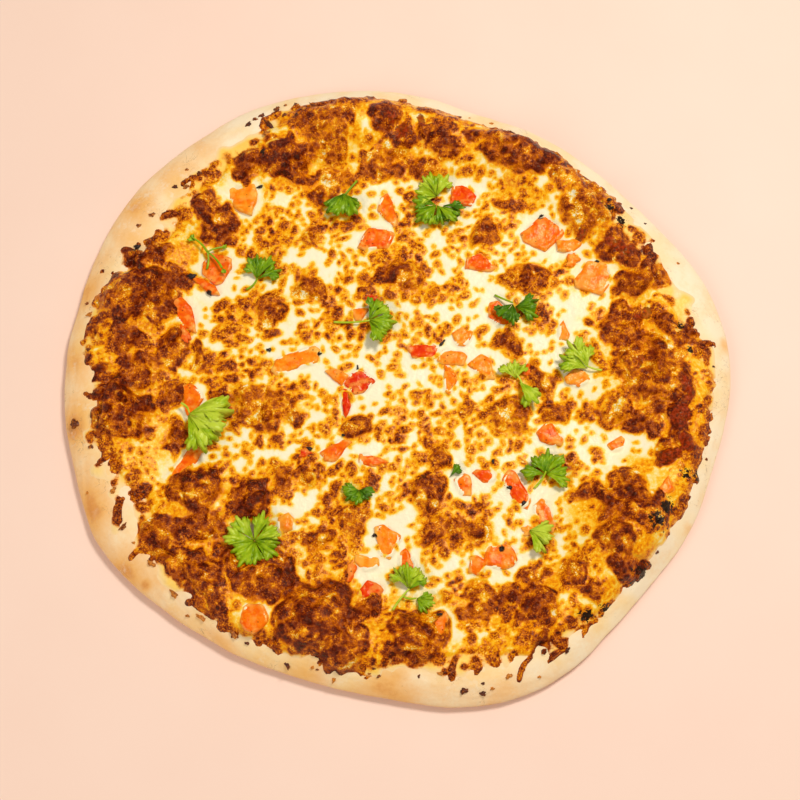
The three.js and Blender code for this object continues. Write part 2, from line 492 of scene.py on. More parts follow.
# swollen, browned places: x, y, length, width, turn, height, how dark (0 golden to 1 nearly black)
bulges = [
    (-125, 34, 20, 19, 0, 1.6, 0.85), (-112, 38, 27, 25, 30, 2.6, 0.85), (-118, 46, 18, 16, 0, 1.4, 0.9),
    (-118, 59, 19, 8, 5, 1.2, 0.95), (-121, 17, 13, 12, 0, 1.2, 0.8), (-133, 46, 12, 11, 0, 1.0, 0.85),
    (-140, 21, 11, 7, 0, 0.9, 0.9), (-124, -15, 26, 25, 0, 3.0, 0.92), (-137, 3, 14, 6, 10, 0.9, 0.85),
    (-116, 3, 18, 16, 0, 1.5, 0.75), (-102, 14, 20, 12, 80, 1.4, 0.75), (-88, 11, 12, 6, 90, 1.0, 0.8),
    (-89, -50, 21, 19, 0, 2.2, 0.85), (-64, -54, 18, 17, 0, 3.0, 0.95), (-88, -65, 11, 10, 0, 1.0, 0.9),
    (-79, -68, 13, 11, 0, 1.0, 0.75), (-103, -72, 21, 17, 40, 1.6, 0.85), (-57, -88, 25, 23, 0, 2.6, 0.97),
    (-35, -107, 34, 30, 10, 3.0, 0.9), (8, -114, 26, 21, 0, 2.4, 0.9), (5, -124, 16, 10, 0, 1.0, 0.8),
    (-24, -124, 17, 13, 0, 1.2, 0.9), (60, -101, 19, 17, 0, 2.2, 0.85), (83, -95, 9, 8, 0, 1.0, 0.8),
    (93, -73, 15, 13, 0, 1.6, 0.85), (96, -85, 13, 11, 0, 1.2, 0.9), (88, -54, 26, 7, 5, 1.2, 0.8),
    (107, -58, 16, 6, -50, 1.0, 0.8), (100, 24, 17, 15, 60, 1.6, 0.85), (116, 10, 13, 12, 0, 1.5, 0.8),
    (115, -5, 24, 18, 0, 1.8, 0.66), (127, 20, 20, 7, -34, 1.6, 0.9), (110, 46, 24, 15, 25, 1.8, 0.7),
    (112, 6, 32, 30, 10, 2.4, 0.58), (127, 1, 8, 7, 90, 1.6, 0.98), (128, -8, 10, 8, 90, 1.8, 1.0),
    (125, -20, 13, 10, 70, 2.0, 1.0), (126, -30, 12, 9, 100, 2.0, 1.0), (119, -38, 12, 8, 20, 1.8, 0.98),
    (118, -33, 12, 7, 30, 1.4, 0.95), (104, 27, 18, 15, 30, 1.6, 0.85), (121, 27, 7, 5, 40, 1.2, 0.98),
    (-88, -88, 26, 17, -40, 1.6, 0.92), (-78, -102, 16, 11, -40, 1.2, 0.92), (-30, 97, 15, 12, 20, 1.2, 0.7),
    (-8, 103, 18, 12, 0, 1.3, 0.6), (13, 103, 13, 11, 0, 1.2, 0.7), (107, -60, 22, 13, -50, 1.4, 0.8),
    (100, -50, 16, 9, 20, 1.2, 0.7), (104, -92, 15, 9, 50, 1.2, 0.85), (95, -16, 16, 8, 0, 1.0, 0.6),
    (39, 70, 11, 8, 40, 0.9, 0.6), (-34, -73, 12, 10, 50, 1.0, 0.75), (-19, -63, 13, 8, 20, 0.9, 0.6),
    (88, 80, 24, 22, 0, 1.8, 0.5), (99, 61, 18, 11, -30, 1.2, 0.85), (78, 97, 13, 11, 0, 1.4, 0.9),
    (88, 94, 8, 7, 0, 1.0, 0.9), (96, 90, 6, 5, 0, 0.8, 0.95), (55, 110, 32, 22, -20, 1.8, 0.85),
    (35, 117, 11, 10, 0, 1.4, 0.9), (20, 113, 22, 8, -50, 1.2, 0.8), (-52, 107, 19, 17, 0, 2.2, 0.97),
    (-35, 115, 20, 18, 0, 1.8, 0.55), (-25, 130, 15, 13, 0, 1.2, 0.85), (-5, 125, 14, 12, 0, 1.3, 0.85),
    (-40, 128, 14, 12, 0, 1.2, 0.8), (-46, 97, 9, 8, 0, 1.0, 0.75), (3, 117, 12, 10, 0, 1.0, 0.95),
    (-83, 73, 20, 18, 0, 1.8, 0.85), (-89, 82, 14, 12, 0, 1.3, 0.85),
    (-41, 43, 14, 13, 0, 1.2, 0.5), (2, 48, 15, 13, 0, 1.6, 0.5), (-3, 52, 12, 7, 10, 1.0, 0.85),
    (55, 50, 13, 13, 0, 1.4, 0.5), (61, 50, 11, 12, 0, 1.2, 0.8), (-60, -12, 23, 18, 10, 1.6, 0.45),
    (-63, -19, 19, 6, -25, 1.0, 0.7), (52, -18, 17, 16, 0, 1.6, 0.5), (-19, -23, 11, 9, 0, 1.0, 0.75),
    (13, -52, 15, 14, 0, 1.8, 0.8), (15, -67, 9, 8, 0, 0.8, 0.75), (24, -67, 9, 8, 0, 0.8, 0.8),
    (35, -70, 11, 10, 0, 1.0, 0.8), (-51, -45, 9, 8, 0, 0.8, 0.75), (-40, -45, 9, 8, 0, 0.8, 0.75),
    (65, 0, 9, 8, 0, 0.9, 0.7), (-3, 111, 12, 11, 0, 1.4, 0.35), (70, -17, 9, 11, 0, 0.9, 0.7),
    (-77, -12, 12, 9, 30, 1.0, 0.75), (-79, -9, 8, 6, 0, 0.8, 0.8), (-96, -27, 16, 13, 20, 1.3, 0.75),
    (-72, -82, 15, 12, 20, 1.3, 0.85), (-14, -101, 11, 8, 40, 1.0, 0.8), (33, -104, 15, 11, 0, 1.3, 0.8),
    (46, -96, 13, 10, 0, 1.1, 0.75), (76, -86, 12, 10, 0, 1.1, 0.8), (72, 106, 15, 12, -30, 1.3, 0.85),
    (-70, 101, 15, 12, 30, 1.2, 0.8), (-108, 60, 12, 8, 0, 1.0, 0.8), (-99, -8, 15, 11, 80, 1.2, 0.8),
    (-100, 48, 14, 12, 0, 1.2, 0.8), (-114, -23, 14, 10, 0, 1.2, 0.8), (106, -93, 13, 8, 50, 1.2, 0.95),
    (110, -19, 15, 12, 0, 1.4, 0.75), (96, -61, 17, 10, 0, 1.2, 0.7), (61, -87, 14, 8, 10, 1.0, 0.7),
    (-39, 70, 10, 9, 0, 0.8, 0.6), (-34, 90, 11, 9, 0, 0.9, 0.7), (-57, 31, 9, 12, 0, 0.9, 0.6),
    (51, 18, 11, 8, 0, 0.8, 0.6), (-47, -15, 8, 10, 0, 0.8, 0.6), (36, -94, 12, 8, 0, 1.0, 0.7),
    (-17, -117, 13, 10, 0, 1.1, 0.85), (61, -121, 12, 9, 60, 1.1, 0.85), (17, -37, 9, 7, 0, 0.8, 0.6),
]

# where the cheese stays pale and wet: x, y, length, width, turn, strength
creamZones = [
    (-8, 88, 26, 15, 60, 0.9), (27, 82, 13, 28, 10, 0.9), (18, 60, 30, 12, -60, 0.8),
    (62, 62, 34, 14, 30, 0.9), (84, 36, 34, 14, 10, 0.9), (62, 14, 44, 18, -20, 0.7),
    (104, -28, 30, 12, -8, 1.0), (82, -28, 26, 9, 20, 0.8), (10, 4, 46, 20, -10, 0.8),
    (-34, 14, 62, 12, 10, 0.8),
    (-15, -14, 26, 14, -40, 0.8), (38, 12, 30, 22, 0, 0.7), (34, -37, 48, 8, -5, 0.8),
    (-1, -68, 22, 14, 0, 0.9), (-47, -62, 10, 10, 0, 0.8), (66, -60, 22, 26, 30, 0.9),
    (40, -86, 26, 14, 0, 0.9), (-82, 48, 20, 18, -30, 0.8), (-74, 92, 16, 24, -20, 0.9),
    (-92, 28, 12, 26, 30, 0.7), (-88, -10, 10, 20, 0, 0.7), (-92, -36, 20, 10, 40, 0.7),
    (-28, 62, 30, 10, 20, 0.6), (-52, 30, 26, 10, 20, 0.6), (60, -34, 22, 14, 40, 0.8),
    (8, -92, 22, 18, 0, 0.7), (84, -4, 20, 9, -30, 0.6), (-72, 52, 12, 14, 0, 0.7),
    (36, 36, 34, 16, 30, 0.6), (-44, 80, 14, 18, -10, 0.5), (137, -17, 8, 34, 8, 0.95),
    (122, -56, 15, 12, 40, 0.9), (-56, -34, 20, 9, -10, 0.8), (36, -5, 16, 12, 0, 0.8),
    (125, 31, 10, 16, 20, 0.9), (-109, -48, 13, 9, 20, 0.8), (-52, 88, 12, 8, 0, 0.8),
    (-87, -3, 10, 7, 0, 0.8),
    (112, 57, 9, 7, 0, 0.8), (54, 37, 9, 7, 0, 0.8),
]

# strands of shredded cheese that crisped on the rim: x, y, length, width, turn
strands = [
    (-142, 49, 8, 2.5, 20), (-103, 78, 12, 2.6, 5), (-121, -60, 13, 3.2, 75), (-84, -111, 10, 3, -40),
    (-70, -119, 12, 3, -50), (-52, -122, 12, 3, -60), (53, -129, 12, 3, 60), (68, -124, 12, 3, 50),
    (141, 15, 13, 3.6, -12), (137, 9, 9, 3, -80), (-136, -9, 9, 3, 150), (-128, -38, 10, 3, 25),
    (-112, -79, 9, 3, 40), (-137, 52, 7, 2.5, 0), (-97, 95, 9, 3, 30), (-60, -115, 10, 3, -70),
    (24, -128, 11, 3, 80), (-15, -130, 8, 2.5, 70), (82, -112, 10, 3, 50), (36, 133, 10, 3, 40),
    (-62, 126, 9, 3, 70), (-38, 139, 8, 3, 60), (100, -97, 12, 3, 40), (125, -62, 10, 3, 60),
    (132, -38, 12, 3, 70), (96, 101, 8, 3, 50), (-110, 66, 8, 2.6, 30), (-130, 27, 9, 3, 10),
]

oilPools = [  # yellow-orange fat at the rim: x, y, reach, strength
    (136, -12, 9, 1.0), (136, -27, 9, 1.0), (133, -20, 14, 1.0), (128, 0, 12, 1.0), (133, 28, 10, 0.8),
    (120, 30, 10, 0.9), (122, -50, 14, 0.9),
    (33, -127, 8, 0.8), (18, -128, 7, 0.8), (-137, 52, 6, 0.7), (-112, 70, 6, 0.8), (100, 75, 12, 0.9),
    (108, 40, 10, 0.8), (85, -62, 14, 0.9), (108, 8, 20, 0.8), (62, -118, 10, 0.7), (-105, -30, 12, 0.7),
    (-112, -55, 8, 0.6), (-3, 110, 8, 0.9), (88, 80, 12, 0.9), (-100, 62, 10, 0.7), (118, 62, 8, 0.8),
]

saucePatches = [  # dark red tomato sauce baked dry: x, y, length, width, turn
    (127, -6, 14, 6, 95), (125, -20, 14, 8, 80), (126, -30, 12, 7, 100), (118, -38, 12, 6, 20),
    (101, 61, 16, 7, -40), (2, 119, 8, 5, 60), (11, 124, 5, 10, 10), (112, 30, 12, 5, 30),
    (108, 5, 7, 4, 60), (84, 68, 8, 5, 20), (-3, 124, 4, 6, 0),
]

bareSpots = [  # where the dough is left bare further in: x, y, reach, how much further
    (-105, -98, 22, 5.0), (-70, -126, 24, 4.0), (-128, -62, 16, 4.0), (126, 60, 26, 4.0), (141, 25, 12, 3.0),
    (-104, 100, 26, 4.0), (-132, 66, 14, 3.0), (30, -135, 22, 3.0), (-134, -32, 12, 2.5), (70, -122, 16, 3.0),
    (-76, 122, 16, 3.0),
]

charSpots = [  # x, y, reach
    (112, -66, 5), (117, -60, 4), (105, -89, 5), (101, -95, 3.5), (80, -107, 3.5), (88, -104, 3),
    (125, -46, 3), (131, -44, 3), (126, 24, 2.4), (-119, 61, 3), (97, 80, 4), (103, 74, 3.5),
    (-62, 108, 2), (130, 12, 2.4),
]


def alongAndAcross(x, y, row):
    # places measured from the middle of a turned mark, along it and across it
    turn = math.radians(row[4])
    c, s = math.cos(turn), math.sin(turn)
    dx, dy = x - row[0], y - row[1]
    return dx * c + dy * s, dy * c - dx * s


def ellipseReach(x, y, row):
    # 0 at the middle of an ellipse, 1 at its edge; also its mean radius
    length, width = row[2:4]
    along, across = alongAndAcross(x, y, row)
    return np.hypot(along / (length / 2), across / (width / 2)), (length + width) / 4


def strandReach(x, y, row):
    # the same, for a bent strand with round ends, thinner towards one of them
    length, width = row[2:4]
    along, across = alongAndAcross(x, y, row)
    across = across + 0.035 * along ** 2 - 0.004 * length ** 2
    taper = np.clip(1 - 0.5 * (along / length + 0.5), 0.5, 1)
    beyond = np.maximum(np.abs(along) - (length - width) / 2, 0)
    return np.hypot(beyond, across) / (width / 2 * taper), width / 2


def windowOf(row, margin):
    # the part of the maps that one mark can touch
    reach = max(row[2], row[3]) / 2 + margin
    window = []
    for middle in row[:2]:
        low = int((middle - reach + cheese["half"]) / cheese["cell"])
        high = int((middle + reach + cheese["half"]) / cheese["cell"]) + 2
        window.append(slice(max(low, 0), max(high, 0)))
    return tuple(window)


def press(depth, tone, window, inside, dark, extra=0.0):
    # a mark takes over the tone wherever it lies deepest
    tone[window] = np.where(inside > depth[window], dark, tone[window])
    depth[window] = np.maximum(depth[window], inside + extra)


def dome(away):
    # height of a round hump, 1 in its middle and 0 at its edge
    return np.sqrt(np.clip(1 - away ** 2, 0, 1))


def scatterBlisters(crisp, mass, toEdge, rng):
    # small browned blisters on a shaken lattice, thicker where the cheese is crisper
    half, cell, gap = cheese["half"], cheese["cell"], cheese["blisterGap"]
    marks = []
    count = int(2 * half / gap)
    for i in range(count):
        for j in range(count):
            px = -half + (i + 0.5 * (j % 2) + rng.uniform(-0.45, 0.45)) * gap
            py = -half + (j + rng.uniform(-0.45, 0.45)) * gap
            chance, big, long, thin, turn, dark = rng.random(6)
            ci, cj = (int(np.clip((c + half) / cell, 0, crisp.shape[0] - 1)) for c in (px, py))
            level = crisp[ci, cj]
            if toEdge[ci, cj] < -1.0 or mass[ci, cj] > 0.6 or chance > 0.03 + 1.2 * level:
                continue
            size = 2 * lerp(0.8, 1.8, level) * lerp(0.5, 1.7, big ** 3)
            tone = np.clip(lerp(0.15, 0.75, level) + 0.5 * (dark - 0.5), 0.0, 1)
            marks.append((px, py, size * lerp(1, 1.6, long * long), size * lerp(0.75, 1, thin),
                          180 * turn, 0.17 * size, tone))
    return marks


def heapBlisters(row, rng):
    # a bulge is a heap of blisters, highest in its middle
    marks = []
    x, y, length, width, turn, height, dark = row
    c, s = math.cos(math.radians(turn)), math.sin(math.radians(turn))
    for _ in range(int(length * width / cheese["heaped"]) + 3):
        away, around = math.sqrt(rng.random()) * 0.98, rng.uniform(-math.pi, math.pi)
        along, across = away * length / 2 * math.cos(around), away * width / 2 * math.sin(around)
        size = rng.uniform(*cheese["heapedSizes"])
        marks.append((x + along * c - across * s, y + along * s + across * c, size * rng.uniform(1, 1.35),
                      size, rng.uniform(0, 180), height * (1 - away ** 2) * 0.7 + 0.2 * size,
                      np.clip(dark + rng.normal(0.02, 0.12), 0, 1)))
    return marks


def creepOver(x, y):
    # 1 where melted cheese has run up and over the edges of the tomato
    inside = np.zeros_like(x)
    for name in tomatoNames:
        window = windowOf(plotOf(name, 0), 1)
        found = heightsOn(treeOf(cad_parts[name]), x[window].ravel() * mm, y[window].ravel() * mm)
        inside[window] = np.maximum(inside[window], (found > 0).reshape(x[window].shape))
    band = 1 - np.abs(2 * soften(inside, 1.0) - 1)
    return smoothstep(0.2, 0.8, band) * smoothstep(-0.25, 0.3, grainNoise(x, y, 5, 81, 2))


def startPage():
    # the maps' grid, plain and shaken, so that no mark has a clean outline
    ticks = np.arange(-cheese["half"], cheese["half"], cheese["cell"])
    x, y = np.meshgrid(ticks, ticks, indexing="ij")
    angle, reach = np.arctan2(y, x), np.hypot(x, y)
    wx = x + 0.45 * grainNoise(x, y, 3.2, 31, 2) + 0.9 * grainNoise(x, y, 10, 35)
    wy = y + 0.45 * grainNoise(x, y, 3.2, 32, 2) + 0.9 * grainNoise(x, y, 10, 36)
    return SimpleNamespace(
        x=x, y=y, wx=wx, wy=wy,
        bx=wx + 2.6 * grainNoise(x, y, 8, 33, 2), by=wy + 2.6 * grainNoise(x, y, 8, 34, 2),
        swing=grainNoise(x, y, 7, 38, 2), reach=reach,
        toEdge=radiusAt(cheeseRadii, angle) - reach, toDoughEdge=radiusAt(doughRadii, angle) - reach)


def drawCream(page):
    # 1 where the cheese stays wet: in its own zones and round the tomato
    cream = np.zeros_like(page.x)
    for row in creamZones:
        away, _ = ellipseReach(page.wx, page.wy, row)
        cream = np.maximum(cream, row[5] * smoothstep(1.35, 0.65, away))
    for name in tomatoNames:
        away, _ = ellipseReach(page.wx, page.wy, plotOf(name, 5))
        cream = np.maximum(cream, 0.9 * smoothstep(1.3, 0.9, away))
    return cream


def drawMass(page):
    # 1 inside the browned bulges
    mass = np.zeros_like(page.x)
    for row in bulges:
        away, _ = ellipseReach(page.bx, page.by, row)
        mass = np.maximum(mass, smoothstep(1.15, 0.85, away + 0.25 * page.swing))
    return mass


def drawMarks(page, crisp, mass, rng):
    # depth is the millimetres inside the nearest browned mark, tone how dark it is
    depth, tone, rise = (np.full_like(page.x, value) for value in (-4.0, 0.3, 0.0))
    marks = [(row, page.wx, page.wy) for row in scatterBlisters(crisp, mass, page.toEdge, rng)]
    for row in bulges:
        window = windowOf(row, 3.5)
        away, radius = ellipseReach(page.bx[window], page.by[window], row)
        inside = np.minimum(radius * (1 - away - 0.2 * page.swing[window]) * 0.8, 0.9)
        inside = inside + 0.35 * grainNoise(page.x[window], page.y[window], 4, 37, 2)
        press(depth, tone, window, inside, row[6] - 0.2)
        rise[window] = np.maximum(rise[window], row[5] * dome(away) * 0.9)
        marks += [(part, page.bx, page.by) for part in heapBlisters(row, rng)]
    for row, u, v in marks:
        window = windowOf(row, 4.5)
        away, radius = ellipseReach(u[window], v[window], row)
        press(depth, tone, window, radius * (1 - away), row[6])
        hump = row[5] * dome(away)
        rise[window] = np.maximum(rise[window], hump) + 0.3 * np.minimum(rise[window], hump)
    return depth, tone, rise


def drawRuns(page, depth, tone, thick, rng):
    # small runs of cheese on the bare dough, crowded in some places
    samples = 720
    crowd = grainNoise(np.linspace(0, 880, samples), np.zeros(samples), 9, 54, 2)
    for _ in range(cheese["runs"]):
        turn, keep = rng.uniform(-math.pi, math.pi), rng.random()
        out, size = rng.normal(-0.5, 2.0), rng.uniform(*cheese["runSizes"])
        if keep > 0.45 + 0.8 * crowd[int((turn / math.pi + 1) * (samples / 2 - 1))]:
            continue
        edge = radiusAt(cheeseRadii, turn)
        out = min(out, radiusAt(doughRadii, turn) - edge - cheese["bare"])
        size *= 1 - 0.12 * np.clip(out, 0, 5)
        row = ((edge + out) * math.cos(turn), (edge + out) * math.sin(turn),
               size * rng.uniform(1, 1.7), size, math.degrees(turn) + rng.normal(0, 40))
        window = windowOf(row, 3.5)
        away, radius = ellipseReach(page.wx[window], page.wy[window], row)
        press(depth, tone, window, radius * (1 - away), rng.uniform(0.55, 0.95), 0.8)
        thick[window] = np.maximum(thick[window], lerp(1.1, 2.0, rng.random()) * (1 - away ** 2))


def drawSheet(page, depth, tone, rng):
    # how thick the melted sheet is, with its ragged edge and what ran beyond it
    x, y = page.x, page.y
    ragged = page.toEdge + 3.6 * grainNoise(x, y, 13, 51, 2) + 2.0 * grainNoise(x, y, 4.5, 52, 2) - 1.0
    for px, py, reach, amount in bareSpots:
        ragged -= amount * np.exp(-((x - px) ** 2 + (y - py) ** 2) / reach ** 2)
    ragged = np.minimum(ragged, page.toDoughEdge - cheese["bare"] - 1)
    thick = cheese["thick"] * (1 - np.exp(-np.clip(ragged, 0, None) / 2.4)) + np.minimum(ragged, 0) * 0.5
    film = 0.30 + 0.09 * page.toEdge + 0.9 * grainNoise(x, y, 8, 55, 2)
    film = np.minimum(film, 0.3 * (page.toDoughEdge - cheese["bare"] - 1.5))
    thick = np.maximum(thick, np.clip(film, -1, 0.5))
    edging = -0.1 - 0.3 * np.abs(ragged - 1.0) + 1.5 * grainNoise(x, y, 7, 53, 2)
    press(depth, tone, slice(None), edging, 0.5)
    for row in strands:
        window = windowOf(row, 3.5)
        away, radius = strandReach(page.wx[window], page.wy[window], row)
        press(depth, tone, window, radius * (1 - away), 0.8, 1.2)
        thick[window] = np.maximum(thick[window], 1.5 * (1 - away ** 2))
    drawRuns(page, depth, tone, thick, rng)
    ending = page.toDoughEdge - cheese["bare"] + 2.4 * grainNoise(x, y, 5, 56, 2)
    return np.clip(thick, -1.2, np.maximum(ending * 0.6, -1.2))


def drawFat(page, browned, cream):
    # fat gathers round what has browned, near the edge and in its own pools
    x, y = page.x, page.y
    fat = smoothstep(0.31, 0.72, soften(browned, 2.6) + 0.12 * grainNoise(x, y, 5, 61, 2))
    greasy = smoothstep(-0.5, 0.3, grainNoise(x, y, 7, 64, 2))
    outer = smoothstep(44, 22, page.toEdge + 10 * grainNoise(x, y, 14, 62, 2))
    fat = np.maximum(fat, outer * greasy * (1 - cream))
    fat = np.maximum(fat, (0.35 + 0.35 * greasy) * smoothstep(15, 5, page.toEdge + 3 * page.swing))
    return np.maximum(fat, spotField(oilPools, page.wx, page.wy, 1.4))


def drawSauce(page):
    # 1 where the dried sauce shows through
    blotch = 0.55 * grainNoise(page.x, page.y, 3.5, 63, 2)
    sauce = np.zeros_like(page.x)
    for row in saucePatches:
        away, _ = ellipseReach(page.wx, page.wy, row)
        sauce = np.maximum(sauce, smoothstep(1.1, 0.6, away + blotch))
    return sauce


def makeMaps():
    page = startPage()
    x, y = page.x, page.y
    rng = np.random.default_rng(cheese["seed"])
    cream, mass = drawCream(page), drawMass(page)
    crisp = 0.66 - 0.16 * smoothstep(85, 118, page.reach) + 0.45 * grainNoise(x, y, 9, 42, 2)
    crisp = np.clip(crisp * (1 - 0.8 * cream), 0.04, 1)
    depth, tone, rise = drawMarks(page, crisp, mass, rng)
    thick = drawSheet(page, depth, tone, rng)
    browned = smoothstep(-0.6, 0.8, depth)
    lumps = 0.34 * grainNoise(x, y, 4.0, 71, 2) + 0.30 * grainNoise(x, y, 1.9, 72)
    rise = rise + lumps * browned + 0.22 * grainNoise(x, y, 9, 73, 2) * (1 - browned)
    height = thick + soften(rise, 0.45) * smoothstep(0.0, 1.5, thick)
    return {
        "depth": depth, "tone": soften(tone + 0.16 * page.swing, 0.5), "mass": mass, "thick": thick,
        "height": height + cheese["creep"] * creepOver(x, y),
        "oil": drawFat(page, browned, cream), "sauce": drawSauce(page),
        "char": spotField([(*spot, 1) for spot in charSpots], page.wx, page.wy, 1.5),
    }


def soften(field, radius):
    # a gaussian blur, `radius` in millimetres
    rows, columns = field.shape
    fu = np.fft.fftfreq(rows)[:, None]
    fv = np.fft.rfftfreq(columns)[None, :]
    sigma = radius / cheese["cell"]
    kept = np.exp(-2 * (math.pi * sigma) ** 2 * (fu ** 2 + fv ** 2))
    return np.fft.irfft2(np.fft.rfft2(field) * kept, s=field.shape)


def readMap(field, x, y):
    # between a map's cells, straight across
    u = np.clip((x + cheese["half"]) / cheese["cell"], 0, field.shape[0] - 1.001)
    v = np.clip((y + cheese["half"]) / cheese["cell"], 0, field.shape[1] - 1.001)
    iu, iv = u.astype(int), v.astype(int)
    fu, fv = u - iu, v - iv
    return lerp(lerp(field[iu, iv], field[iu + 1, iv], fu),
                lerp(field[iu, iv + 1], field[iu + 1, iv + 1], fu), fv)


def buildCheese(maps):
    spacing = cheese["spacing"]
    count = int(2 * cheese["sheetHalf"] / spacing)
    bm = bmesh.new()
    bmesh.ops.create_grid(bm, x_segments=count, y_segments=count, size=count * spacing / 2 * mm)
    beyond = [v for v in bm.verts
              if v.co.xy.length > (radiusAt(doughRadii, math.atan2(v.co.y, v.co.x)) - cheese["border"]) * mm]
    bmesh.ops.delete(bm, geom=beyond, context="VERTS")
    # the edge goes down and is closed; its height is set with the others below
    marker = -1.0
    rim = [e for e in bm.edges if e.is_boundary]
    skirt = bmesh.ops.extrude_edge_only(bm, edges=rim)["geom"]
    for v in skirt:
        if isinstance(v, bmesh.types.BMVert):
            v.co.z = marker
    bmesh.ops.holes_fill(bm, edges=[e for e in skirt if isinstance(e, bmesh.types.BMEdge)], sides=0)
    bmesh.ops.recalc_face_normals(bm, faces=bm.faces)
    piece = toObject("meltedCheese", bm)
    coords = coordsOf(piece.data)
    sunk = coords[:, 2] < marker / 2
    x, y = coords[:, 0] / mm, coords[:, 1] / mm
    coords[:, 2] = heightsOn(doughTree, coords[:, 0], coords[:, 1]) + readMap(maps["height"], x, y) * mm
    coords[sunk, 2] = cheese["skirt"] * mm
    setCoords(piece.data, coords)
    paint(piece.data, **{name: readMap(field, x, y) for name, field in maps.items() if name != "height"})
    return piece


def heapedLumps(tree, coords):
    # the rounded lumps of a bulge, warped so that they don't look like a net
    bend = tree.nodes.new("ShaderNodeTexNoise")
    bend.inputs["Scale"].default_value = 1 / (3.5 * mm)
    tree.links.new(coords, bend.inputs["Vector"])
    warp = tree.nodes.new("ShaderNodeVectorMath")
    warp.operation = "MULTIPLY_ADD"
    tree.links.new(bend.outputs["Color"], warp.inputs[0])
    warp.inputs[1].default_value = (2.2 * mm,) * 3
    tree.links.new(coords, warp.inputs[2])
    return cellNode(tree, warp.outputs[0], 4.4)


def browningParts(tree, coords):
    # what the cheese's colours and bumps share
    depth = attributeOf(tree, "depth")
    grain = noiseNode(tree, coords, 1.5, 2, 0.6)
    broken = add(tree, depth, rescale(tree, grain, 0.25, 0.75, -0.35, 0.35))
    return SimpleNamespace(
        depth=depth, grain=grain, broken=broken, crust=rescale(tree, broken, -0.5, 0.5),
        whole=rescale(tree, depth, 0.2, 1.2), mass=attributeOf(tree, "mass"),
        fine=noiseNode(tree, coords, 0.8, 2, 0.7), bubbles=cellNode(tree, coords, 1.9),
        lumps=heapedLumps(tree, coords))


def browningShift(tree, coords, parts):
    # darker or paler than the depth alone would make it; some of the paler marks are painted glints
    mass = parts.mass
    deeper = maths(tree, "MULTIPLY_ADD", attributeOf(tree, "tone"), 0.6, -0.41)
    deeper = maths(tree, "MAXIMUM", deeper, rescale(tree, parts.depth, 0.3, 1.2, -0.06, -0.2))
    # pale orange flecks in the bulges: partly the browned cheese's own grains, partly painted glints
    flecksAndGlints = times(tree, rescale(tree, parts.fine, 0.47, 0.7, 0.05, -0.38), mass)
    flecksAndGlints = times(tree, flecksAndGlints, rescale(tree, noiseNode(tree, coords, 5, 3), 0.4, 0.6, 0.4, 1))
    calmer = rescale(tree, mass, 0, 1, 1, 0.2)
    speckleAndGlints = maths(tree, "MULTIPLY_ADD", spread(tree, parts.fine, 0.24), calmer, flecksAndGlints)
    # each little bubble has a dark browned ring round a paler middle; the paler middle is a painted glint
    ringsAndGlints = greyRamp(tree, parts.bubbles, [(0.0, 0.1), (0.14, 0.3), (0.28, 1), (0.42, 0.65), (0.62, 0.1)])
    ringAndGlintShift = times(tree, rescale(tree, ringsAndGlints, 0, 1, -0.17, 0.17), parts.whole)
    ringAndGlintShift = times(tree, ringAndGlintShift, rescale(tree, mass, 0, 1, 1, 0.5))
    golden = rescale(tree, noiseNode(tree, coords, 10, 4, 0.62, 0.6), 0.5, 0.62, 0.04, -0.28)
    golden = times(tree, golden, mass)
    wander = spread(tree, noiseNode(tree, coords, 3.4, 3, 0.6), 0.5)
    blotch = maths(tree, "MULTIPLY_ADD", wander, rescale(tree, mass, 0, 1, 0.3, 0.2), golden)
    seam = times(tree, rescale(tree, parts.lumps, 0.38, 0.66, 0.11, -0.12), mass)
    outline = greyRamp(tree, rescale(tree, parts.depth, 0, 4), [(0.05, 0), (0.17, 1), (0.30, 0.9), (0.55, 0)])
    shift = add(tree, add(tree, deeper, speckleAndGlints), add(tree, ringAndGlintShift, blotch))
    return add(tree, shift, add(tree, seam, times(tree, outline, 0.10)))


def bakedTint(tree, coords, parts):
    # from pale cheese through golden fat to nearly black skin
    skin = greyRamp(tree, rescale(tree, parts.broken, -2, 3), [
        (0.0, 0), (0.14, 0.04), (0.3, 0.2), (0.4, 0.36), (0.5, 0.47), (0.62, 0.56), (1.0, 0.62)])
    fat = times(tree, attributeOf(tree, "oil"), rescale(tree, parts.grain, 0.3, 0.7, 0.16, 0.44))
    toast = maths(tree, "MAXIMUM", skin, fat)
    toast = add(tree, toast, times(tree, browningShift(tree, coords, parts), parts.crust))
    tint = ramp(tree, toast, [
        (0.0, colour(251, 240, 204)), (0.07, colour(252, 230, 160)), (0.15, colour(252, 204, 70)),
        (0.23, colour(250, 178, 14)), (0.33, colour(240, 144, 0)), (0.45, colour(212, 110, 0)),
        (0.56, colour(176, 80, 0)), (0.68, colour(142, 52, 0)), (0.80, colour(104, 24, 0)),
        (1.0, colour(62, 8, 0))])
    pale = blendColours(tree, noiseNode(tree, coords, 8, 3), colour(255, 255, 255), colour(255, 249, 236))
    return blendColours(tree, 1.0, tint, pale, "MULTIPLY")


